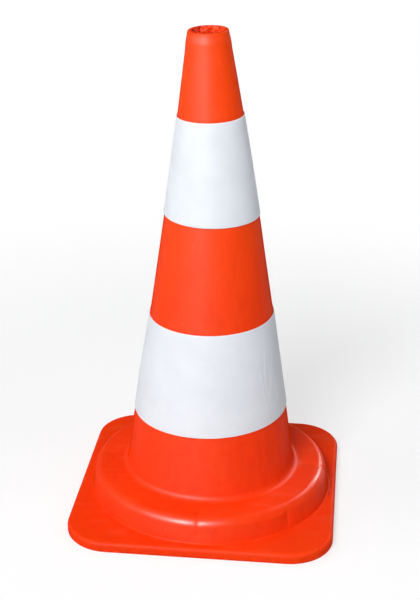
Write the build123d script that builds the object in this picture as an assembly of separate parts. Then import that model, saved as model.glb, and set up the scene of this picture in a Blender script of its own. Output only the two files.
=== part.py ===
from build123d import *
import os

# Sizes in millimetres. The cone stands on z = 0 with its axis on Z and the sides of its base along X and Y.

# Cone wall
CONE_HEIGHT = 500.0
CONE_FOOT_RADIUS = 89.0  # outside, where the wall meets the top of the shoulder
CONE_WALL = 3.0  # measured level, across the wall
CONE_FOOT_FILLET = 6.5

# Mouth at the top, a straight bore with a thicker rim
TOP_BORE_DIAMETER = 32.0
TOP_BORE_LENGTH = 14.0
TOP_BORE_LEAD = 6.0  # height over which the bore widens into the hollow
RIM_WALL = 4.0
RIM_ROUND = 1.5

# Square base plate
BASE_WIDTH = 273.0
BASE_CORNER_RADIUS = 45.5
PLATE_THICKNESS = 11.5
PLATE_TOP_ROUND = 4.0
PLATE_BOTTOM_ROUND = 2.5

# Round shoulder between the plate and the wall, hollow underneath
PLATE_MARGIN = 9.0  # plate left bare between the shoulder's foot and the middle of a side
SHOULDER_DRAFT = 4.6  # how far the shoulder's side leans in over its height
SHOULDER_RISE = 1.0  # how far its top slopes up from its edge to the cone wall
SHOULDER_SKIN = 5.0
SHOULDER_EDGE_ROUND = 10.0
SHOULDER_FOOT_FILLET = 3.0
SHOULDER_INNER_ROUND = 5.0

# Ribs under the shoulder, which stand on the shoulder of the cone below in a stack
STACK_PITCH = 34.0
RIB_GROUND_GAP = 3.0
RIB_COUNT = 8
RIB_THICKNESS = 4.0
RIB_INSET = 8.0  # level gap between the ribs' inner ends and the foot of the cone wall

# Reflective sleeves
SLEEVE_THICKNESS = 0.6
SLEEVE_CLEARANCE = 0.3  # level gap between a sleeve and the wall
TOP_BARE_HEIGHT = 81.5  # orange left above the upper sleeve
UPPER_SLEEVE_HEIGHT = 101.0
FOOT_BARE_HEIGHT = 66.5  # orange left between the shoulder and the lower sleeve
LOWER_SLEEVE_HEIGHT = 107.0

# Places worked out from the sizes
bore_radius = TOP_BORE_DIAMETER / 2
cone_top_radius = bore_radius + RIM_WALL
shoulder_foot_radius = BASE_WIDTH / 2 - PLATE_MARGIN
shoulder_edge_radius = shoulder_foot_radius - SHOULDER_DRAFT
shoulder_edge_height = STACK_PITCH + RIB_GROUND_GAP
shoulder_top_height = shoulder_edge_height + SHOULDER_RISE
round_room = (shoulder_edge_radius - CONE_FOOT_RADIUS) / 2  # half the shoulder's top, the most for each round
foot_fillet = min(CONE_FOOT_FILLET, round_room)
edge_round = min(SHOULDER_EDGE_ROUND, round_room)
inner_round = min(SHOULDER_INNER_ROUND, round_room)
taper = (CONE_FOOT_RADIUS - cone_top_radius) / (CONE_HEIGHT - shoulder_top_height)
upper_sleeve_bottom = CONE_HEIGHT - TOP_BARE_HEIGHT - UPPER_SLEEVE_HEIGHT
lower_sleeve_bottom = shoulder_top_height + FOOT_BARE_HEIGHT


def wall_radius(height):
    """Outside radius of the cone wall at a height."""
    return cone_top_radius + taper * (CONE_HEIGHT - height)


def shoulder_height(radius):
    """Height of the shoulder's nearly level top at a distance from the axis, before its rounds."""
    slope = SHOULDER_RISE / (shoulder_edge_radius - CONE_FOOT_RADIUS)
    return shoulder_edge_height + slope * (shoulder_edge_radius - radius)


def shoulder_side_radius(height):
    """Outside radius of the shoulder's leaning side at a height."""
    lean = SHOULDER_DRAFT / (shoulder_edge_height - PLATE_THICKNESS)
    return shoulder_foot_radius - lean * (height - PLATE_THICKNESS)


def rounded_profile(corners):
    """A closed outline in the XZ plane, from (radius, height, rounding) corners."""
    outline = make_face(Plane.XZ * Polyline([(r, z) for r, z, _ in corners], close=True))
    for r, z, rounding in corners:
        if rounding > 0:
            corner = outline.vertices().sort_by_distance((r, 0, z))[0]
            outline = fillet(corner, rounding)
    return outline


def turned_body():
    """The wall, rim and shoulder, with the disc of plate that the shoulder stands on."""
    disc_radius = BASE_WIDTH / 2 - PLATE_TOP_ROUND
    bore_bottom = CONE_HEIGHT - TOP_BORE_LENGTH
    hollow_top = bore_bottom - TOP_BORE_LEAD
    inner_edge_radius = shoulder_edge_radius - SHOULDER_SKIN
    corners = [
        (bore_radius, CONE_HEIGHT, 0),
        (cone_top_radius, CONE_HEIGHT, RIM_ROUND),
        (CONE_FOOT_RADIUS, shoulder_top_height, foot_fillet),
        (shoulder_edge_radius, shoulder_edge_height, edge_round),
        (shoulder_foot_radius, PLATE_THICKNESS, SHOULDER_FOOT_FILLET),
        (disc_radius, PLATE_THICKNESS, 0),
        (disc_radius, 0, 0),
        (shoulder_side_radius(0) - SHOULDER_SKIN, 0, 0),
        (inner_edge_radius, shoulder_edge_height - SHOULDER_SKIN, inner_round),
        (CONE_FOOT_RADIUS - CONE_WALL, shoulder_top_height - SHOULDER_SKIN, inner_round),
        (wall_radius(hollow_top) - CONE_WALL, hollow_top, 0),
        (bore_radius, bore_bottom, 0),
    ]
    return revolve(rounded_profile(corners), axis=Axis.Z)


def base_plate():
    """The square plate with rounded corners and edges, open in the middle under the shoulder."""
    plate = extrude(RectangleRounded(BASE_WIDTH, BASE_WIDTH, BASE_CORNER_RADIUS), PLATE_THICKNESS)
    plate = fillet(plate.faces().sort_by(Axis.Z)[-1].edges(), PLATE_TOP_ROUND)
    plate = fillet(plate.faces().sort_by(Axis.Z)[0].edges(), PLATE_BOTTOM_ROUND)
    opening = shoulder_foot_radius - SHOULDER_SKIN / 2
    return plate - extrude(Circle(opening), PLATE_THICKNESS)


def stacking_rib():
    """One upright rib on +X under the shoulder, rooted in its skin, with its foot one stack pitch down."""
    root = SHOULDER_SKIN / 2
    inner_radius = CONE_FOOT_RADIUS + RIB_INSET
    outer_radius = shoulder_edge_radius - root
    corner_round = min(edge_round - root, outer_radius - inner_radius)
    foot_outer_height = shoulder_height(shoulder_edge_radius) - STACK_PITCH
    corners = [
        (inner_radius, shoulder_height(inner_radius) - root, 0),
        (outer_radius, shoulder_edge_height - root, corner_round),
        (shoulder_side_radius(foot_outer_height) - root, foot_outer_height, 0),
        (inner_radius, shoulder_height(inner_radius) - STACK_PITCH, 0),
    ]
    return extrude(rounded_profile(corners), RIB_THICKNESS / 2, both=True)


def cone_body():
    """The one-piece moulding: wall, shoulder, plate and ribs."""
    body = turned_body() + base_plate()
    rib = stacking_rib()
    for index in range(RIB_COUNT):
        body += Rot(0, 0, index * 360 / RIB_COUNT) * rib
    return body


def sleeve(bottom, height):
    """A thin tapered collar that follows the cone wall."""
    top = bottom + height
    inner_bottom = wall_radius(bottom) + SLEEVE_CLEARANCE
    inner_top = wall_radius(top) + SLEEVE_CLEARANCE
    section = Polyline(
        (inner_bottom, bottom),
        (inner_bottom + SLEEVE_THICKNESS, bottom),
        (inner_top + SLEEVE_THICKNESS, top),
        (inner_top, top),
        close=True,
    )
    return revolve(make_face(Plane.XZ * section), axis=Axis.Z)


nodes = {
    "cone_body": cone_body(),
    "upper_sleeve": sleeve(upper_sleeve_bottom, UPPER_SLEEVE_HEIGHT),
    "lower_sleeve": sleeve(lower_sleeve_bottom, LOWER_SLEEVE_HEIGHT),
}
os.makedirs("parts", exist_ok=True)
for name, shape in nodes.items():
    export_step(shape, f"parts/{name}.step")
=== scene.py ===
import math

import bmesh
import bpy
import numpy as np
from mathutils import Matrix, Vector, noise


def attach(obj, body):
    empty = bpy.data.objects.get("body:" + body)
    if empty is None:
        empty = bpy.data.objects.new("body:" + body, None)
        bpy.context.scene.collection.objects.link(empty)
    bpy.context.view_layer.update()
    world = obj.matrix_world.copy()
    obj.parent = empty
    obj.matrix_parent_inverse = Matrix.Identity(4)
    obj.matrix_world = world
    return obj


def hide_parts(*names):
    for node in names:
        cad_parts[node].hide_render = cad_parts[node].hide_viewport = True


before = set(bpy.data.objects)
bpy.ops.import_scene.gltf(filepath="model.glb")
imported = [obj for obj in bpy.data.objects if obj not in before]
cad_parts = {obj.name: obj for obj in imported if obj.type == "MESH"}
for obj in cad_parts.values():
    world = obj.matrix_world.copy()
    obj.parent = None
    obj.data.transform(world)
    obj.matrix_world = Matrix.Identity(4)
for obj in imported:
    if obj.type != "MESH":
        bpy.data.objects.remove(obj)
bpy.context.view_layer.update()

# Lengths are in millimetres unless a name (_M) or a comment says metres. Meshes are made in metres.
# Angles round the cone are measured from +X towards +Y.
MM = 0.001

# Photograph's camera, from the fitted view
CAMERA_TURN = math.radians(6.01)  # from straight in front towards +X
CAMERA_REACH = 1287.4  # level distance from the cone's axis
CAMERA_HEIGHT = 789.7
CAMERA_AIM_HEIGHT = 222.5
CAMERA_AIM_SIDE = -0.1
CAMERA_ROLL = math.radians(0.31)
CAMERA_LENS = 82.57
CAMERA_SENSOR = 36.0

# Cone moulding
CONE_HEIGHT = 500.0
CONE_TOP_RADIUS = 20.0
CONE_FOOT_RADIUS = 89.0
CONE_FOOT_HEIGHT = 38.0
CONE_FOOT_FILLET = 6.5
WALL = 3.0
BORE_RADIUS = 16.0
BORE_LENGTH = 14.0
BORE_LEAD = 6.0
RIM_HEIGHT = 500.7  # the rough-cut top stands a little proud
RIM_ROUND = 1.5
LIP_HEIGHT = 13.0  # top of the wall that curls in a little
LIP_CURL = 0.2
LIP_BEAD = (490.0, 4.5, 0.3)  # height, half width and rise of the faint swelling below the lip

SHOULDER_EDGE = (122.9, 37.0)  # radius and height where its top and side would meet
SHOULDER_EDGE_ROUND = 10.0
SHOULDER_FOOT_RADIUS = 127.5
SHOULDER_FOOT_FILLET = 1.6
SHOULDER_SKIN = 5.0
SHOULDER_INNER_ROUND = 5.0

PLATE_HALF = 136.5
PLATE_CORNER = 45.5
PLATE_THICKNESS = 11.5
PLATE_TOP_ROUND = 4.0
PLATE_BOTTOM_ROUND = 2.5
HOLLOW_MOUTH_RADIUS = 124.6
HOLLOW_MOUTH_ROUND = 0.8

RIBS = 8
RIB_HALF_THICKNESS = 2.0
RIB_INNER_RADIUS = 97.0
RIB_FOOT_DROP = 34.0  # below the shoulder's top
RIB_FOOT_OUTER = (126.5, 3.0)
RIB_EDGE_ROUND = 0.6
RIB_EDGE_STEPS = 2  # faces along that round

# Soft wall: its axis stands to the camera's right of the plate's middle and leans to the left at the top
FOOT_SHIFT = 1.4
SWAY = 5.6
BOW = -9.0
SWAY_FROM = (110.0, 150.0)  # heights between which the sway sets in
UNEVENNESS = 0.35  # how far the wall stands out or in
UNEVEN_FROM = (60.0, 130.0)  # heights between which that sets in
SWELLING_TO = (130.0, 230.0)  # heights between which the wall stops standing out all round
UNEVEN_RADIUS = 60.0  # radius on which the wall's bumps are laid out
UNEVEN_SIZE = 70.0  # how far across they are

# Sleeves: (bottom height, top height, bottom tilt, top tilt); a tilt is rise per mm to the camera's right
UPPER_SLEEVE = (318.6, 418.4, -0.018, 0.006)
LOWER_SLEEVE = (105.8, 211.4, 0.024, 0.022)
# Creases: (angle, height of the middle, sideways run per mm up, half length, half width, rise)
LOWER_CREASES = [
    (math.radians(-41), 178.0, 0.35, 12.0, 1.4, 0.30),
    (math.radians(-38), 150.0, -0.10, 20.0, 1.3, 0.42),
    (math.radians(-33), 168.0, 0.08, 24.0, 1.3, 0.48),
    (math.radians(-30), 140.0, 0.45, 14.0, 1.5, 0.40),
    (math.radians(-24), 162.0, 0.30, 15.0, 1.7, 0.36),
    (math.radians(-20), 146.0, -0.15, 18.0, 1.8, 0.34),
]
SLEEVE_GAP = 0.3
SLEEVE_THICKNESS = 0.6
SLEEVE_EDGE_WAVES = (0.15, 40.0)  # rise and size of the waves in a sleeve's edges

AROUND = 480  # points round each ring
CROWDING = 0.7  # how much closer the points stand at the ribs, 0 for even spacing
ARC_STEPS = 6  # faces along a rounded edge
MOUTH_RINGS = 20
SLEEVE_OUTSIDE_RINGS = 41
SLEEVE_INSIDE_RINGS = 21
SLEEVE_EDGE_RINGS = 3  # rings round a sleeve's edge
PLATE_TOP_RINGS = (0.25, 0.5, 0.75)  # shares of the way across the plate's flat top
PLATE_UNDER_RINGS = (0.33, 0.67)  # the same underneath
# Longest face along a straight run: on the lip and shoulder, down the wall between them, and in the hollow
FINE_STEP = 4.0
WALL_STEP = 8.0
HOLLOW_STEP = 16.0
LIP_FROM = 476.0  # height above which the wall counts as lip
SHOULDER_TO = 60.0  # height below which it counts as shoulder
SEED_SHIFT = (17.3, 5.1, 29.7)  # how far the noise is moved on for each seed

taper = (CONE_FOOT_RADIUS - CONE_TOP_RADIUS) / (CONE_HEIGHT - CONE_FOOT_HEIGHT)
even_angles = np.linspace(0, 2 * math.pi, AROUND, endpoint=False)
angles = even_angles - CROWDING / RIBS * np.sin(RIBS * even_angles)
camera_right = np.array((math.cos(CAMERA_TURN), math.sin(CAMERA_TURN)))


def linear(hex_colour):
    """Scene-linear RGBA of an sRGB hex colour."""
    channels = [int(hex_colour[i:i + 2], 16) / 255 for i in (1, 3, 5)]
    return [c / 12.92 if c <= 0.04045 else ((c + 0.055) / 1.055) ** 2.4 for c in channels] + [1.0]


def wall_radius(height):
    """Outside radius of the straight cone wall."""
    return CONE_TOP_RADIUS + taper * (CONE_HEIGHT - height)


def smooth(value, low, high):
    """0 below low, 1 above high, eased between."""
    t = np.clip((np.asarray(value, float) - low) / (high - low), 0, 1)
    return t * t * (3 - 2 * t)


def rounded_run(corners, longest):
    """Points along straight runs joined by round corners, from (radius, height, rounding)."""
    points = []
    for i, (r, z, rounding) in enumerate(corners):
        here = np.array((r, z), float)
        arc = [here]
        if rounding:
            back = np.array(corners[i - 1][:2]) - here
            on = np.array(corners[i + 1][:2]) - here
            back, on = back / np.linalg.norm(back), on / np.linalg.norm(on)
            half = math.acos(float(back @ on)) / 2
            middle = (back + on) / np.linalg.norm(back + on)
            centre = here + middle * rounding / math.sin(half)
            ends = [here + side * rounding / math.tan(half) - centre for side in (back, on)]
            first, last = (math.atan2(e[1], e[0]) for e in ends)
            turn = (last - first + math.pi) % (2 * math.pi) - math.pi
            steps = first + turn * np.linspace(0, 1, ARC_STEPS + 1)
            arc = [centre + rounding * np.array((math.cos(a), math.sin(a))) for a in steps]
        if points:
            run = arc[0] - points[-1]
            pieces = max(1, math.ceil(np.linalg.norm(run) / longest))
            points += [points[-1] + run * k / pieces for k in range(1, pieces)]
        points += arc
    return np.array(points)


def run_normals(points):
    """Unit normals of a run of points, to the left of its direction."""
    along = np.gradient(points, axis=0)
    normals = np.stack([-along[:, 1], along[:, 0]], -1)
    return normals / np.linalg.norm(normals, axis=1)[:, None]


def plate_outline(inset):
    """Distance from the axis to the rounded square's edge, drawn in by inset, at each angle."""
    half, corner = PLATE_HALF - inset, PLATE_CORNER - inset
    c, s = np.abs(np.cos(angles)), np.abs(np.sin(angles))
    flat = half - corner
    side = half / np.maximum(c, s)
    b = flat * (c + s)
    round_part = b + np.sqrt(np.maximum(b * b - 2 * flat * flat + corner * corner, 0))
    return np.where(side * np.minimum(c, s) <= flat, side, round_part)


def level_ring(radius, height):
    """A level ring of points round the plate's middle."""
    radius, height = np.broadcast_to(radius, angles.shape), np.broadcast_to(height, angles.shape)
    return np.stack([radius * np.cos(angles), radius * np.sin(angles), height], -1)


def ripple(radius, height, size, seed):
    """Smooth noise from -1 to 1 over a ring of points, with bumps about size across."""
    shift = Vector([seed * step for step in SEED_SHIFT])
    return np.array([noise.noise(Vector(point) + shift) for point in level_ring(radius, height) / size])


def wall_unevenness(height):
    """How far the soft wall stands out or in at each angle, the same on its inside and on the sleeves."""
    swelling = 1 - smooth(height, *SWELLING_TO)
    bumps = ripple(UNEVEN_RADIUS, height, UNEVEN_SIZE, seed=1)
    return UNEVENNESS * smooth(height, *UNEVEN_FROM) * (swelling + bumps)


def axis_shift(height):
    """How far the cone's axis stands to the camera's right at a height."""
    share = height / CONE_HEIGHT
    foot = FOOT_SHIFT * smooth(height, 0, PLATE_THICKNESS)
    return foot + (SWAY * share + BOW * share ** 3 - foot) * smooth(height, *SWAY_FROM)


def settled(radius, height):
    """Places a ring of points on the swayed axis, with the ring kept square to it where it sways."""
    height = np.broadcast_to(height, angles.shape)
    lean_per_mm = axis_shift(height + 0.5) - axis_shift(height - 0.5)
    slope = np.where(height > SWAY_FROM[0], lean_per_mm, 0)
    out = level_ring(radius, height)[:, :2]
    sideways = out @ camera_right
    level = out + axis_shift(height)[:, None] * camera_right
    return np.concatenate([level, (height - sideways * slope)[:, None]], -1)


def tube_mesh(name, rings):
    """A closed skin through rings of points, each ring joined to the next and the last to the first."""
    count = len(rings)
    points = np.concatenate(rings) * MM
    faces = []
    for i in range(count):
        a, b = i * AROUND, (i + 1) % count * AROUND
        for j in range(AROUND):
            k = (j + 1) % AROUND
            faces.append((a + j, b + j, b + k, a + k))
    mesh = bpy.data.meshes.new(name)
    mesh.from_pydata(points.tolist(), [], faces)
    return mesh


def new_piece(name, mesh, material):
    """Links a smooth-shaded mesh to the scene as one piece."""
    for polygon in mesh.polygons:
        polygon.use_smooth = True
    mesh.materials.append(material)
    piece = bpy.data.objects.new(name, mesh)
    bpy.context.scene.collection.objects.link(piece)
    return piece


# Moulding's marks and cut top

GROOVE_NARROW = (0.32, 1.9)  # depth and half width of the sink line over each rib
GROOVE_WIDE = (1.1, 7.5)  # depth and half width of the hollow that it lies in
SINKS_ON_TOP = (1.25, 0.7, 0.8, 0.7, 1.0, 0.4, 1.0, 0.35)  # strength of each rib's mark, round from +X
SINKS_ON_SIDE = (0.8, 0.7, 0.8, 0.7, 0.8, 0.4, 0.6, 1.0)
SINKS_FROM_RADII = (92.0, 103.0)  # radii between which the marks set in on the shoulder's top
SINKS_FROM_HEIGHTS = (12.5, 18.5)  # heights between which they set in on its side
SIDE_FACING = (0.84, 0.98)  # how far outwards the skin faces where the shoulder's top turns into its side

CUT_INNER_RADIUS = 17.0  # where the cut top meets the ragged mouth
CUT_BUMPS = (0.6, 3.0)  # rise and size of the bumps on the cut top
CUT_BUMP_RADII = (19.0, 17.5)  # radii between which they set in
CUT_BUMPS_FROM = 499.0  # and the height from which they do
MOUTH_TAGS = (1.4, 4.4)  # reach and size of the tags that the knife left in the mouth
MOUTH_TAGS_IN = 0.3  # share of their reach by which they hang into the bore
MOUTH_SHREDS = (0.4, 2.4)  # reach and size of the finer shreds on them
MOUTH_CHIPS = (0.8, 3.0)  # rise and size of the chips in the mouth's edge
RAGGED_DEPTHS = (9.0, 1.0)  # depths below the cut between which the mouth turns ragged
FIRST_MOUTH_RING = 2.0  # above the bottom of the bore


def sink_marks(radius, strengths):
    """Depth of the sink marks on the shoulder over the ribs, at each angle."""
    pitch = 2 * math.pi / RIBS
    nearest = np.round(angles / pitch).astype(int)
    along = np.abs(angles - nearest * pitch) * radius
    narrow = GROOVE_NARROW[0] * np.exp(-(along / GROOVE_NARROW[1]) ** 2)
    wide = GROOVE_WIDE[0] * np.exp(-along / GROOVE_WIDE[1])
    return strengths[nearest % RIBS] * (narrow + wide)


def outer_rings():
    """The outside, from the rim down the wall and over the shoulder to the plate."""
    wall = [(wall_radius(height), height, 0) for height in (LIP_FROM, SHOULDER_TO)]
    lip = [(CUT_INNER_RADIUS, RIM_HEIGHT, 0), (wall_radius(RIM_HEIGHT), RIM_HEIGHT, RIM_ROUND), wall[0]]
    shoulder = [
        wall[1],
        (CONE_FOOT_RADIUS, CONE_FOOT_HEIGHT, CONE_FOOT_FILLET),
        (*SHOULDER_EDGE, SHOULDER_EDGE_ROUND),
        (SHOULDER_FOOT_RADIUS, PLATE_THICKNESS, SHOULDER_FOOT_FILLET),
        (SHOULDER_FOOT_RADIUS + SHOULDER_FOOT_FILLET, PLATE_THICKNESS, 0),
    ]
    between = rounded_run(wall, WALL_STEP)[1:-1]
    run = np.concatenate([rounded_run(lip, FINE_STEP), between, rounded_run(shoulder, FINE_STEP)])
    normals = run_normals(run)
    rings = []
    for (r, z), (nr, nz) in zip(run, normals):
        on_shoulder = smooth(r, *SINKS_FROM_RADII) * smooth(z, *SINKS_FROM_HEIGHTS)
        on_side = smooth(nr, *SIDE_FACING)
        strengths = np.array(SINKS_ON_TOP) * (1 - on_side) + np.array(SINKS_ON_SIDE) * on_side
        sink = sink_marks(r, strengths) * on_shoulder
        curl = LIP_CURL * float(smooth(z, CONE_HEIGHT - LIP_HEIGHT, CONE_HEIGHT)) ** 2
        bead = LIP_BEAD[2] * math.exp(-((z - LIP_BEAD[0]) / LIP_BEAD[1]) ** 2)
        radius = r - curl + bead + wall_unevenness(z) - sink * nr
        on_cut = smooth(z, CUT_BUMPS_FROM, RIM_HEIGHT) * smooth(r, *CUT_BUMP_RADII)
        rough_cut = CUT_BUMPS[0] * on_cut * ripple(r, z, CUT_BUMPS[1], seed=6)
        rings.append(settled(radius, z - sink * nz + rough_cut))
    return rings


def plate_rings():
    """The plate, from the shoulder's foot over its rounded edge and back underneath to the mouth."""
    foot = np.full(AROUND, SHOULDER_FOOT_RADIUS + SHOULDER_FOOT_FILLET)
    brink = plate_outline(PLATE_TOP_ROUND)
    rings = [level_ring(foot + (brink - foot) * t, PLATE_THICKNESS) for t in PLATE_TOP_RINGS]
    for a in np.linspace(0, math.pi / 2, ARC_STEPS + 1):
        drop = PLATE_TOP_ROUND * (1 - math.cos(a))
        rings.append(level_ring(plate_outline(PLATE_TOP_ROUND * (1 - math.sin(a))), PLATE_THICKNESS - drop))
    for a in np.linspace(0, math.pi / 2, ARC_STEPS + 1):
        rise = PLATE_BOTTOM_ROUND * (1 - math.sin(a))
        rings.append(level_ring(plate_outline(PLATE_BOTTOM_ROUND * (1 - math.cos(a))), rise))
    under = plate_outline(PLATE_BOTTOM_ROUND)
    mouth = HOLLOW_MOUTH_RADIUS + HOLLOW_MOUTH_ROUND
    rings += [level_ring(under + (mouth - under) * t, 0.0) for t in PLATE_UNDER_RINGS]
    return rings


def inner_rings():
    """The hollow, from the mouth up under the shoulder and the wall to the rough-cut top."""
    hollow_top = CONE_HEIGHT - BORE_LENGTH - BORE_LEAD
    corners = [
        (HOLLOW_MOUTH_RADIUS + HOLLOW_MOUTH_ROUND, 0.0, 0),
        (HOLLOW_MOUTH_RADIUS, 0.0, HOLLOW_MOUTH_ROUND / 2),
        (SHOULDER_EDGE[0] - SHOULDER_SKIN, SHOULDER_EDGE[1] - SHOULDER_SKIN, SHOULDER_INNER_ROUND),
        (CONE_FOOT_RADIUS - WALL, CONE_FOOT_HEIGHT - SHOULDER_SKIN, SHOULDER_INNER_ROUND),
        (wall_radius(hollow_top) - WALL, hollow_top, 0),
        (BORE_RADIUS, CONE_HEIGHT - BORE_LENGTH, 0),
    ]
    return [settled(r + wall_unevenness(z), z) for r, z in rounded_run(corners, HOLLOW_STEP)]


def mouth_rings():
    """The bore and the knife-cut lip round it, with its ragged inner edge."""
    rings = []
    for z in np.linspace(CONE_HEIGHT - BORE_LENGTH + FIRST_MOUTH_RING, RIM_HEIGHT, MOUTH_RINGS):
        raggedness = float(smooth(z, RIM_HEIGHT - RAGGED_DEPTHS[0], RIM_HEIGHT - RAGGED_DEPTHS[1]))
        tags = MOUTH_TAGS[0] * (ripple(BORE_RADIUS, z, MOUTH_TAGS[1], seed=2) - MOUTH_TAGS_IN)
        shreds = MOUTH_SHREDS[0] * ripple(BORE_RADIUS, z, MOUTH_SHREDS[1], seed=7)
        chips = MOUTH_CHIPS[0] * ripple(BORE_RADIUS, z, MOUTH_CHIPS[1], seed=3)
        rings.append(settled(BORE_RADIUS + raggedness * (tags + shreds), z + raggedness * chips))
    return rings


def rib_mesh():
    """The ribs under the shoulder, each rooted in its skin."""
    slope = (CONE_FOOT_HEIGHT - SHOULDER_EDGE[1]) / (SHOULDER_EDGE[0] - CONE_FOOT_RADIUS)
    inner_top = SHOULDER_EDGE[1] + slope * (SHOULDER_EDGE[0] - RIB_INNER_RADIUS)
    root = SHOULDER_SKIN / 2
    corners = [
        (RIB_INNER_RADIUS, inner_top - root, 0),
        (SHOULDER_EDGE[0] - root, SHOULDER_EDGE[1] - root, SHOULDER_EDGE_ROUND - root),
        (*RIB_FOOT_OUTER, 0),
        (RIB_INNER_RADIUS, inner_top - RIB_FOOT_DROP, 0),
    ]
    outline = rounded_run(corners, CONE_HEIGHT)  # no side is that long, so none is split
    foot = FOOT_SHIFT * camera_right
    work = bmesh.new()
    for index in range(RIBS):
        a = 2 * math.pi * index / RIBS
        along, across = np.array((math.cos(a), math.sin(a))), np.array((-math.sin(a), math.cos(a)))
        sides = []
        for side in (-1, 1):
            offset = across * RIB_HALF_THICKNESS * side + foot
            sides.append([work.verts.new((*((along * r + offset) * MM), z * MM)) for r, z in outline])
        work.faces.new(sides[0])
        work.faces.new(sides[1][::-1])
        for i in range(len(outline)):
            j = (i + 1) % len(outline)
            work.faces.new((sides[0][j], sides[0][i], sides[1][i], sides[1][j]))
    bmesh.ops.recalc_face_normals(work, faces=work.faces)
    bmesh.ops.bevel(
        work, geom=work.edges[:], offset=RIB_EDGE_ROUND * MM, segments=RIB_EDGE_STEPS, affect="EDGES",
    )
    mesh = bpy.data.meshes.new("ribs")
    work.to_mesh(mesh)
    work.free()
    return mesh


def cone_moulding(material):
    """The one-piece body with its ribs."""
    skin = tube_mesh("cone_moulding", outer_rings() + plate_rings() + inner_rings() + mouth_rings())
    work = bmesh.new()
    work.from_mesh(skin)
    bmesh.ops.recalc_face_normals(work, faces=work.faces)
    work.from_mesh(rib_mesh())
    work.to_mesh(skin)
    work.free()
    return new_piece("cone_moulding", skin, material)


# Reflective sleeves

def reflective_sleeve(name, sizes, creases, material):
    """A thin slipped-on sleeve with rounded, slightly wavy edges and with creases."""
    bottom, top, bottom_tilt, top_tilt = sizes
    sideways = np.cos(angles - CAMERA_TURN)
    half = SLEEVE_THICKNESS / 2
    edges = []
    for height, tilt, seed in ((bottom, bottom_tilt, 4), (top, top_tilt, 5)):
        radius = wall_radius(height)
        waves = SLEEVE_EDGE_WAVES[0] * ripple(radius, height, SLEEVE_EDGE_WAVES[1], seed)
        edges.append(height + tilt * radius * sideways + waves)
    low, high = edges

    def ring(share, depth, past=0.0):
        """The ring at a share of the sleeve's height, depth out from its inside and past its edge."""
        height = low + (high - low) * share + past
        middle = bottom + (top - bottom) * share
        fold = np.zeros(AROUND)
        for angle, at, slant, half_length, half_width, rise in creases:
            along = ((angles - angle + math.pi) % (2 * math.pi) - math.pi) * wall_radius(at)
            across = along - slant * (height - at)
            fold += rise * np.exp(-(across / half_width) ** 2 - ((height - at) / half_length) ** 4)
        return settled(wall_radius(height) + SLEEVE_GAP + depth + fold + wall_unevenness(middle), height)

    rounding = np.linspace(-math.pi / 2, math.pi / 2, SLEEVE_EDGE_RINGS + 2)[1:-1]
    rings = [ring(share, SLEEVE_THICKNESS) for share in np.linspace(0, 1, SLEEVE_OUTSIDE_RINGS)]
    rings += [ring(1, half - half * math.sin(a), half * math.cos(a)) for a in rounding]
    rings += [ring(share, 0) for share in np.linspace(1, 0, SLEEVE_INSIDE_RINGS)]
    rings += [ring(0, half + half * math.sin(a), -half * math.cos(a)) for a in rounding]
    mesh = tube_mesh(name, rings)
    work = bmesh.new()
    work.from_mesh(mesh)
    bmesh.ops.recalc_face_normals(work, faces=work.faces)
    work.to_mesh(mesh)
    work.free()
    return new_piece(name, mesh, material)


# Finishes

# Colours of the moulding, from the deepest to the brightest flow, and of its marks
PVC_DEEP = "#FB380A"
PVC_BRIGHT = "#FE420E"
# painted light: a yellower orange laid on up the wall, standing in for the brighter sheen-lit look of the
# upper wall
PVC_PAINTED_LIT_TOP = "#FF510E"
PVC_RUBBED_DOWN = "#B81E06"
PVC_PALE = "#FF8464"
FLOW_TONES = (0.30, 0.70)  # values of the cloudiness that give the deepest and the brightest colour
MOTTLE_SHARE = 0.4  # share of the fine mottle in the cloudiness
PVC_GRAIN_M = 0.0025  # the real grain is about 0.5 mm; it is drawn coarser so that it shows
PVC_GRAIN_DEPTH_M = 0.0003

# Colours of the sheeting, from its smudges to its clean face
SHEETING_SMUDGED = "#E4E8ED"
SHEETING_CLEAN = "#E9EDF2"
SMUDGE_TONES = (0.30, 0.62)  # values of the smudges that give the two colours
SMUDGES_M = 0.03
BEADS_M = 0.0012  # the real beads are about 0.06 mm; they are drawn coarser so that the grain shows
BEAD_DEPTH_M = 0.0002

WORN_SIDE = (0.64, -0.77, 0)  # direction of the side whose shoulder edge is rubbed most
SPARED_SIDE = (0.71, -0.71, 0)  # direction of a short stretch there that is rubbed less
# Marks that are as long as broad: their size in metres, and how finely they break up
EVEN_MARKS = {
    "flow": (0.055, 3.0),
    "mottle": (0.009, 4.0),
    "tags": (0.0032, 2.0),
}
# Marks that are longer one way: how their pattern is turned, and their size in metres along X, Y and Z
LONG_MARKS = {
    "scuff": ((0, 0, math.radians(25)), (0.040, 0.011, 0.040)),
    "rub": ((0, 0, 0), (0.009, 0.009, 0.080)),
    "scratch": ((math.radians(12), 0, 0), (0.0025, 0.0025, 0.045)),
}

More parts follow.
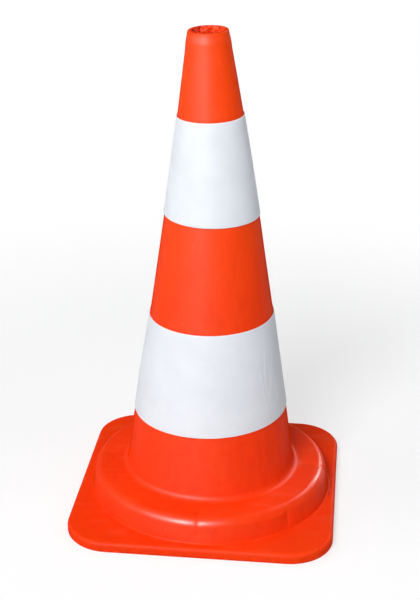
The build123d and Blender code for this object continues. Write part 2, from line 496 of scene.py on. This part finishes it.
# Masks on the moulding: what is measured, two values of it in metres or shares, and the mask at each
PVC_MASKS = {
    "edge_radius": ("radius", 0.110, 0.116, 0, 1),
    "edge_height": ("height", 0.028, 0.033, 0, 1),
    "edge_side": ("side", 0.018, 0.084, 0, 1),
    "edge_spared": ("spared", 0.100, 0.112, 1, 0.42),
    "edge_front": ("depth", 0.010, -0.006, 0.42, 1),
    "fillet_radius": ("radius", 0.099, 0.094, 0, 0.4),
    "fillet_height": ("height", 0.052, 0.046, 0, 1),
    "foot_inside": ("radius", 0.1262, 0.1272, 0, 0.4),
    "foot_outside": ("radius", 0.1296, 0.1288, 0, 1),
    "foot_height": ("height", 0.0150, 0.0130, 0, 1),
    "lip_bottom": ("height", 0.487, 0.493, 0, 0.075),
    "lip_top": ("height", 0.499, 0.496, 0, 1),
    "outside_mouth": ("top_radius", 0.0175, 0.0190, 0, 1),
    "above_plate": ("height", 0.012, 0.020, 0.45, 1),
    "dust_free": ("upward", 0.93, 0.99, 1, 0.25),
    "faced": ("glance", 0.55, 0.88, 1, 0),
    "level_top": ("upward", 0.90, 0.97, 0, 1),
    "scuffs": ("scuff", 0.50, 0.75, 0, 0.09),
    "in_mouth": ("top_radius", 0.0185, 0.0175, 0, 1),
    "near_top": ("height", 0.492, 0.497, 0, 1),
    # pale flecks on the tags in the cut mouth
    "whitened": ("tags", 0.49, 0.62, 0, 0.52),
    "on_wall": ("upward", 0.35, 0.20, 0, 1),
    "rub_marks": ("rub", 0.40, 0.72, 0, 0.11),
    "scratches": ("scratch", 0.68, 0.76, 0, 0.22),
    # painted light up the wall: the share of the yellower orange grows with height
    "painted_lit_top": ("height", 0.060, 0.470, 0, 0.5),
    "skin_shine": ("mottle", 0, 1, 0.036, 0.046),
    "edge_shine": ("mottle", 0, 1, 0.110, 0.130),
    "dull": ("mottle", 0, 1, 0.46, 0.58),
    "worn": ("mottle", 0, 1, 0.36, 0.43),
}
# Masks made from two others: the rubbed places, the specular level, and the pale and the darker marks
PVC_JOINED_MASKS = [
    ("edge", "MULTIPLY", "edge_radius", "edge_height"),
    ("edge", "MULTIPLY", "edge", "edge_side"),
    ("fillet", "MULTIPLY", "fillet_radius", "fillet_height"),
    ("foot", "MULTIPLY", "foot_inside", "foot_outside"),
    ("foot", "MULTIPLY", "foot", "foot_height"),
    ("rubbed", "MAXIMUM", "edge", "fillet"),
    ("rubbed", "MAXIMUM", "rubbed", "foot"),
    ("lip", "MULTIPLY", "lip_bottom", "lip_top"),
    ("edge_shine", "MULTIPLY", "edge_shine", "rubbed"),
    ("edge_shine", "MULTIPLY", "edge_shine", "edge_spared"),
    ("edge_shine", "MULTIPLY", "edge_shine", "edge_front"),
    ("shine", "MAXIMUM", "skin_shine", "edge_shine"),
    ("shine", "MAXIMUM", "shine", "lip"),
    ("shine", "MULTIPLY", "shine", "outside_mouth"),
    ("shine", "MULTIPLY", "shine", "above_plate"),
    ("shine", "MULTIPLY", "shine", "dust_free"),
    ("shine", "MULTIPLY", "shine", "faced"),
    ("scuffed", "MULTIPLY", "level_top", "scuffs"),
    ("torn", "MULTIPLY", "in_mouth", "near_top"),
    ("torn", "MULTIPLY", "torn", "whitened"),
    ("scratched", "MULTIPLY", "scratches", "on_wall"),
    ("pale", "MAXIMUM", "scuffed", "torn"),
    ("pale", "MAXIMUM", "pale", "scratched"),
    ("rub_marks", "MULTIPLY", "rub_marks", "on_wall"),
    ("painted_lit_top", "MULTIPLY", "painted_lit_top", "outside_mouth"),
]


def new_finish(name):
    """A new material and its emptied node tree."""
    material = bpy.data.materials.new(name)
    material.use_nodes = True
    material.node_tree.nodes.clear()
    return material, material.node_tree


def add_node(tree, kind, settings=None, **links):
    """Adds a node, with settings by name or socket, and links from other nodes' outputs to its sockets.
    A link's i0, i1 and so on is a socket by its place, and any other name is the socket's own."""
    node = tree.nodes.new(kind)
    for key, value in (settings or {}).items():
        if isinstance(key, str) and hasattr(node, key):
            setattr(node, key, value)
        else:
            node.inputs[key].default_value = value
    for key, output in links.items():
        by_place = key[0] == "i" and key[1:].isdigit()
        socket = int(key[1:]) if by_place else key.replace("_", " ")
        tree.links.new(output, node.inputs[socket])
    return node


def seen_directly(tree):
    """Output that is 1 for what the camera sees, straight or in a reflection or through a clear surface."""
    ray = add_node(tree, "ShaderNodeLightPath").outputs
    seen = ray["Is Camera Ray"]
    for other in ("Is Glossy Ray", "Is Transmission Ray"):
        seen = add_node(tree, "ShaderNodeMath", {"operation": "MAXIMUM"}, i0=seen, i1=ray[other]).outputs[0]
    return seen


def soft_pvc():
    """Soft PVC, injection moulded and coloured through: saturated orange-red, with a yellower orange
    painted on up the wall as painted light standing in for the brighter sheen-lit upper wall, a dull satin
    skin, a faint cloudiness where the colour flowed into the mould, a fine pebbled grain, a shine on the
    edges that rub in a stack, faint pale scuffs on the level tops, darker rub marks and hairline scratches
    down the wall, and pale flecks on the tags in the cut mouth."""
    material, tree = new_finish("soft_pvc_moulded_orange")
    surface = add_node(tree, "ShaderNodeTexCoord").outputs
    place = surface["Object"]
    level = add_node(tree, "ShaderNodeVectorMath", {"operation": "MULTIPLY", 1: (1, 1, 0)}, i0=place)
    side = add_node(tree, "ShaderNodeVectorMath", {"operation": "DOT_PRODUCT", 1: WORN_SIDE}, i0=place)
    spared = add_node(tree, "ShaderNodeVectorMath", {"operation": "DOT_PRODUCT", 1: SPARED_SIDE}, i0=place)
    parts = add_node(tree, "ShaderNodeSeparateXYZ", i0=place).outputs
    measures = {
        "height": parts["Z"],
        "depth": parts["Y"],
        "side": side.outputs["Value"],
        "spared": spared.outputs["Value"],
        "upward": add_node(tree, "ShaderNodeSeparateXYZ", i0=surface["Normal"]).outputs["Z"],
        "glance": add_node(tree, "ShaderNodeLayerWeight", {"Blend": 0.5}).outputs["Facing"],
    }
    for name, (size, detail) in EVEN_MARKS.items():
        marks = add_node(tree, "ShaderNodeTexNoise", {"Scale": 1 / size, "Detail": detail}, Vector=place)
        measures[name] = marks.outputs[0]
    for name, (turn, size) in LONG_MARKS.items():
        settings = {"Rotation": turn, "Scale": [1 / length for length in size]}
        stretched = add_node(tree, "ShaderNodeMapping", settings, Vector=place).outputs[0]
        marks = add_node(tree, "ShaderNodeTexNoise", {"Scale": 1.0, "Detail": 3.0}, Vector=stretched)
        measures[name] = marks.outputs[0]
    for name, height in (("radius", CONE_FOOT_HEIGHT), ("top_radius", RIM_HEIGHT)):
        settings = {"operation": "SUBTRACT", 1: (*(axis_shift(height) * camera_right * MM), 0)}
        out = add_node(tree, "ShaderNodeVectorMath", settings, i0=level.outputs[0])
        length = add_node(tree, "ShaderNodeVectorMath", {"operation": "LENGTH"}, i0=out.outputs[0])
        measures[name] = length.outputs["Value"]
    masks = {}
    for name, (measure, low, high, low_share, high_share) in PVC_MASKS.items():
        settings = {"interpolation_type": "SMOOTHSTEP", "From Min": low, "From Max": high}
        settings.update({"To Min": low_share, "To Max": high_share})
        masks[name] = add_node(tree, "ShaderNodeMapRange", settings, Value=measures[measure]).outputs[0]
    for name, operation, first, second in PVC_JOINED_MASKS:
        settings = {"operation": operation}
        joined = add_node(tree, "ShaderNodeMath", settings, i0=masks[first], i1=masks[second])
        masks[name] = joined.outputs[0]

    settings = {"data_type": "FLOAT", 0: MOTTLE_SHARE}
    tone = add_node(tree, "ShaderNodeMix", settings, i2=measures["flow"], i3=measures["mottle"])
    ramp = add_node(tree, "ShaderNodeValToRGB", i0=tone.outputs[0])
    for end, position, shade in zip(ramp.color_ramp.elements, FLOW_TONES, (PVC_DEEP, PVC_BRIGHT)):
        end.position, end.color = position, linear(shade)
    colour = ramp.outputs[0]
    # the first of these paints light up the wall; the rub marks and the pale marks are the moulding's own
    for mask, marked in (("painted_lit_top", PVC_PAINTED_LIT_TOP), ("rub_marks", PVC_RUBBED_DOWN), ("pale", PVC_PALE)):
        settings = {"data_type": "RGBA", 7: linear(marked)}
        colour = add_node(tree, "ShaderNodeMix", settings, i0=masks[mask], i6=colour).outputs[2]
    sheen = add_node(
        tree, "ShaderNodeMix", {"data_type": "FLOAT"},
        i0=masks["rubbed"], i2=masks["dull"], i3=masks["worn"],
    )
    grain = add_node(tree, "ShaderNodeTexNoise", {"Scale": 1 / PVC_GRAIN_M, "Detail": 2.0}, Vector=place)
    settings = {"Strength": 0.25, "Distance": PVC_GRAIN_DEPTH_M}
    bump = add_node(tree, "ShaderNodeBump", settings, Height=grain.outputs[0])
    shader = add_node(
        tree, "ShaderNodeBsdfPrincipled", {"IOR": 1.53},
        Base_Color=colour, Roughness=sheen.outputs[0], Specular_IOR_Level=masks["shine"],
        Normal=bump.outputs[0],
    )
    add_node(tree, "ShaderNodeOutputMaterial", Surface=shader.outputs[0])
    return material


def retroreflective_sheeting():
    """Glass-bead retroreflective sheeting, cast as a film: cool white with a dull satin face, a fine beaded
    grain and faint grey handling marks."""
    material, tree = new_finish("retroreflective_sheeting_white")
    place = add_node(tree, "ShaderNodeTexCoord").outputs["Object"]
    settings = {"Scale": 1 / SMUDGES_M, "Detail": 5.0, "Roughness": 0.6}
    smudge = add_node(tree, "ShaderNodeTexNoise", settings, Vector=place)
    ramp = add_node(tree, "ShaderNodeValToRGB", i0=smudge.outputs[0])
    shades = (SHEETING_SMUDGED, SHEETING_CLEAN)
    for end, position, shade in zip(ramp.color_ramp.elements, SMUDGE_TONES, shades):
        end.position, end.color = position, linear(shade)
    beads = add_node(tree, "ShaderNodeTexVoronoi", {"Scale": 1 / BEADS_M}, Vector=place)
    settings = {"Strength": 0.12, "Distance": BEAD_DEPTH_M}
    bump = add_node(tree, "ShaderNodeBump", settings, Height=beads.outputs[0])
    dull = add_node(tree, "ShaderNodeMapRange", {"To Min": 0.42, "To Max": 0.58}, Value=smudge.outputs[0])
    shader = add_node(
        tree, "ShaderNodeBsdfPrincipled", {"IOR": 1.5, "Specular IOR Level": 0.05},
        Base_Color=ramp.outputs[0], Roughness=dull.outputs[0], Normal=bump.outputs[0],
    )
    add_node(tree, "ShaderNodeOutputMaterial", Surface=shader.outputs[0])
    return material


# Studio

FLOOR_RADIUS_M = 30.0
FLOOR_SIDES = 64
FLOOR_DROP_M = 0.0002  # below the plate, so that the two faces don't meet
FLOOR_PAINTED_SHADE_M = (0.115, 0.125)  # distances from the axis over which the floor's glow comes in; under the hollow it has none, a painted shade where the cone covers the floor
FLOOR_SHADOW_M = (0.35, 0.9)  # distances from the axis over which the shadow fades out
FLOOR_GLOW = 0.6  # share of white that the floor shows even in the shadow
FLOOR_SEEN = "#B4B4B4"  # colour that takes the shadow
FLOOR_PLAIN = "#D8D8D8"  # colour that throws light back on the object
BACKDROP = "#FFFFFF"
AMBIENT = 0.14  # strength of the light from all round
AMBIENT_TINT = "#ECF3FF"


def floor_paint():
    """Matt white studio floor: it keeps the object's soft shadow and runs out into plain white. Under the
    cone's hollow its glow is taken out, a painted shade.
    """
    material, tree = new_finish("studio_floor_matt_white")
    place = add_node(tree, "ShaderNodeTexCoord").outputs["Object"]
    away = add_node(tree, "ShaderNodeVectorMath", {"operation": "LENGTH"}, i0=place)
    run_out = add_node(
        tree, "ShaderNodeMapRange",
        {"interpolation_type": "SMOOTHSTEP", "From Min": FLOOR_SHADOW_M[0], "From Max": FLOOR_SHADOW_M[1]},
        Value=away.outputs["Value"],
    ).outputs[0]
    lit = add_node(tree, "ShaderNodeBsdfDiffuse", {"Color": linear(FLOOR_SEEN)})
    # painted shade: the floor gets no glow under the cone's hollow
    glow_outside_painted_shade = add_node(
        tree, "ShaderNodeMapRange",
        {"From Min": FLOOR_PAINTED_SHADE_M[0], "From Max": FLOOR_PAINTED_SHADE_M[1], "To Max": FLOOR_GLOW},
        Value=away.outputs["Value"],
    ).outputs[0]
    glow = add_node(tree, "ShaderNodeEmission", {"Color": linear(BACKDROP)}, Strength=glow_outside_painted_shade)
    near = add_node(tree, "ShaderNodeAddShader", i0=lit.outputs[0], i1=glow.outputs[0])
    far = add_node(tree, "ShaderNodeEmission", {"Color": linear(BACKDROP), "Strength": 1.0})
    shown = add_node(tree, "ShaderNodeMixShader", Fac=run_out, i1=near.outputs[0], i2=far.outputs[0])
    plain = add_node(tree, "ShaderNodeBsdfDiffuse", {"Color": linear(FLOOR_PLAIN)})
    mixed = add_node(
        tree, "ShaderNodeMixShader", Fac=seen_directly(tree), i1=plain.outputs[0], i2=shown.outputs[0],
    )
    add_node(tree, "ShaderNodeOutputMaterial", Surface=mixed.outputs[0])
    return material


def studio_floor():
    """A round floor that runs out of sight."""
    mesh = bpy.data.meshes.new("studio_floor")
    turns = np.linspace(0, 2 * math.pi, FLOOR_SIDES, endpoint=False)
    corners = [(math.cos(a) * FLOOR_RADIUS_M, math.sin(a) * FLOOR_RADIUS_M, 0) for a in turns]
    mesh.from_pydata(corners, [], [range(len(corners))])
    floor = new_piece("studio_floor", mesh, floor_paint())
    floor.location.z = -FLOOR_DROP_M


def surroundings():
    """An even dim light from all round, which shows as plain white."""
    world = bpy.data.worlds.new("studio")
    bpy.context.scene.world = world
    world.use_nodes = True
    tree = world.node_tree
    tree.nodes.clear()
    ambient = add_node(tree, "ShaderNodeBackground", {"Color": linear(AMBIENT_TINT), "Strength": AMBIENT})
    backdrop = add_node(tree, "ShaderNodeBackground", {"Color": linear(BACKDROP), "Strength": 1.0})
    mixed = add_node(
        tree, "ShaderNodeMixShader", Fac=seen_directly(tree), i1=ambient.outputs[0], i2=backdrop.outputs[0],
    )
    add_node(tree, "ShaderNodeOutputWorld", Surface=mixed.outputs[0])


def soft_light(name, turn, rise, reach, width, height, level, lights="both", aim_height=0.25, spread=180):
    """A soft box aimed at the cone's axis; turn is from the camera, level the brightness it gives a facing
    white, and lights says whether it lights the colour, the shine or both. Angles are in degrees, sizes and
    distances in metres."""
    turn, rise, spread = CAMERA_TURN + math.radians(turn), math.radians(rise), math.radians(spread)
    middle = Vector((0, 0, aim_height))
    back = Vector((math.sin(turn) * math.cos(rise), -math.cos(turn) * math.cos(rise), math.sin(rise)))
    lamp = bpy.data.lights.new(name, "AREA")
    lamp.shape = "RECTANGLE"
    lamp.size, lamp.size_y = width, height
    lamp.spread = spread
    narrowing = 1 - spread / 2 / math.tan(spread / 2)
    lamp.energy = level * math.pi ** 2 * reach ** 2 * narrowing
    holder = bpy.data.objects.new(name, lamp)
    holder.location = middle + back * reach
    holder.rotation_euler = back.to_track_quat("Z", "Y").to_euler()
    holder.visible_camera = False
    holder.visible_diffuse = lights != "shine"
    holder.visible_glossy = lights != "colour"
    bpy.context.scene.collection.objects.link(holder)


def photograph_camera():
    """The camera that took the photograph, rolled a little as it was."""
    c, s = math.cos(CAMERA_TURN), math.sin(CAMERA_TURN)
    eye = Vector((CAMERA_REACH * s, -CAMERA_REACH * c, CAMERA_HEIGHT)) * MM
    aim = Vector((CAMERA_AIM_SIDE * c, CAMERA_AIM_SIDE * s, CAMERA_AIM_HEIGHT)) * MM
    forward = (aim - eye).normalized()
    across = forward.cross(Vector((0, 0, 1))).normalized()
    up = across.cross(forward)
    c, s = math.cos(CAMERA_ROLL), math.sin(CAMERA_ROLL)
    across, up = c * across + s * up, c * up - s * across
    data = bpy.data.cameras.new("photograph_camera")
    data.sensor_width = CAMERA_SENSOR
    data.lens = CAMERA_LENS
    holder = bpy.data.objects.new("photograph_camera", data)
    holder.matrix_world = Matrix.Translation(eye) @ Matrix((across, up, -forward)).transposed().to_4x4()
    bpy.context.scene.collection.objects.link(holder)
    bpy.context.scene.camera = holder


photograph_camera()
surroundings()
studio_floor()
soft_light("key_light", turn=-22, rise=40, reach=3.5, width=1.25, height=1.25, level=0.79)
soft_light("left_light", turn=-85, rise=25, reach=2.4, width=1.4, height=1.4, level=0.23)
soft_light(
    "right_light", turn=60, rise=17, reach=0.75, width=0.5, height=0.5, level=0.24,
    lights="colour", aim_height=0.47,
)
soft_light("rim_light", turn=145, rise=30, reach=2.4, width=0.7, height=0.7, level=0.04)
soft_light("back_light", turn=180, rise=-4, reach=2.4, width=1.4, height=0.15, level=0.35, lights="colour")
soft_light("key_glint", turn=-24, rise=24, reach=2.2, width=0.45, height=1.2, level=8.0, lights="shine")
soft_light("left_glint", turn=-62, rise=22, reach=2.4, width=1.0, height=0.8, level=2.3, lights="shine")
soft_light(
    "rim_glint", turn=147, rise=30, reach=2.4, width=0.3, height=0.5, level=3.7,
    lights="shine", aim_height=0.03, spread=14,
)

orange = soft_pvc()
white = retroreflective_sheeting()
body = cone_moulding(orange)
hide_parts("cone_body")
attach(body, "cone")

sleeves = (("upper_sleeve", UPPER_SLEEVE, []), ("lower_sleeve", LOWER_SLEEVE, LOWER_CREASES))
for node, sizes, creases in sleeves:
    sleeve = reflective_sleeve(node.replace("sleeve", "reflective_sleeve"), sizes, creases, white)
    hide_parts(node)
    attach(sleeve, node)

bpy.context.scene.view_settings.view_transform = "Standard"
